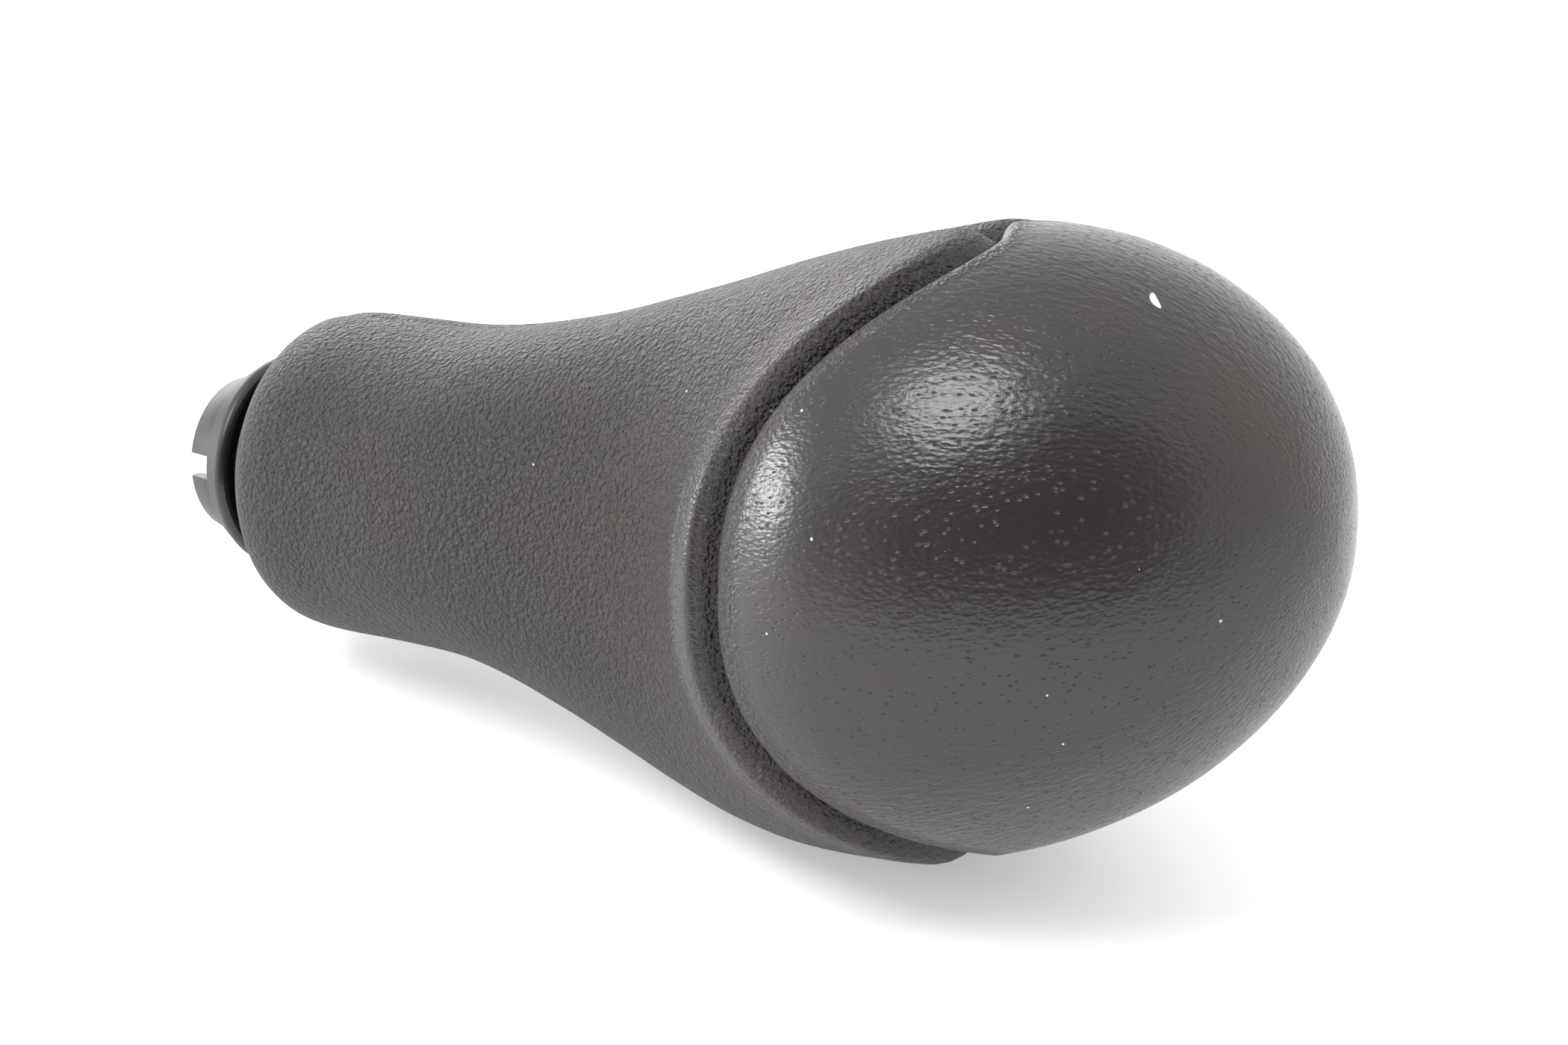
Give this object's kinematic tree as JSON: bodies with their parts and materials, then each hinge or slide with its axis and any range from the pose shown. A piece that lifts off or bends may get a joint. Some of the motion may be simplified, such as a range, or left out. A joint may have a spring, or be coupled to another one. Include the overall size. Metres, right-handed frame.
{
  "type": "gear shift knob",
  "caption": "Leather covered gear shift knob with an egg shaped crown, a tucked groove, a slim neck and a notched collar that turns to lock the knob on its lever.",
  "frame": {"origin": "centre of the lever socket's mouth, where the lever enters the knob", "axes": "+Z along the lever's axis towards the crown, -Y to the front, where the crown leans, +X and -X to the flanks, where the crown's edge dips"},
  "size_m": [0.0498, 0.0563, 0.118],
  "materials": {
    "leather": "smooth grained leather, semi matt",
    "sleeve_plastic": "fine moulded texture, the rim polished by handling",
    "core_plastic": "smooth",
    "grip_foam": "moulded foam skin",
    "carrier_plastic": "moulded",
    "cushion_rubber": "matt"
  },
  "bodies": {
    "grip": {"core_insert": "core_plastic", "socket_cushion": "cushion_rubber", "grip_body": "grip_foam", "side_cover_left": "leather", "side_cover_right": "leather", "crown_carrier": "carrier_plastic", "crown_cover": "leather"},
    "sleeve": {"lock_sleeve": "sleeve_plastic"}
  },
  "joints": [
    {"name": "sleeve_turn", "type": "hinge", "parent": "grip", "child": "sleeve", "pos_m": [0, 0, 0], "axis": [0, 0, 1], "range_deg": [0, 90]}
  ]
}
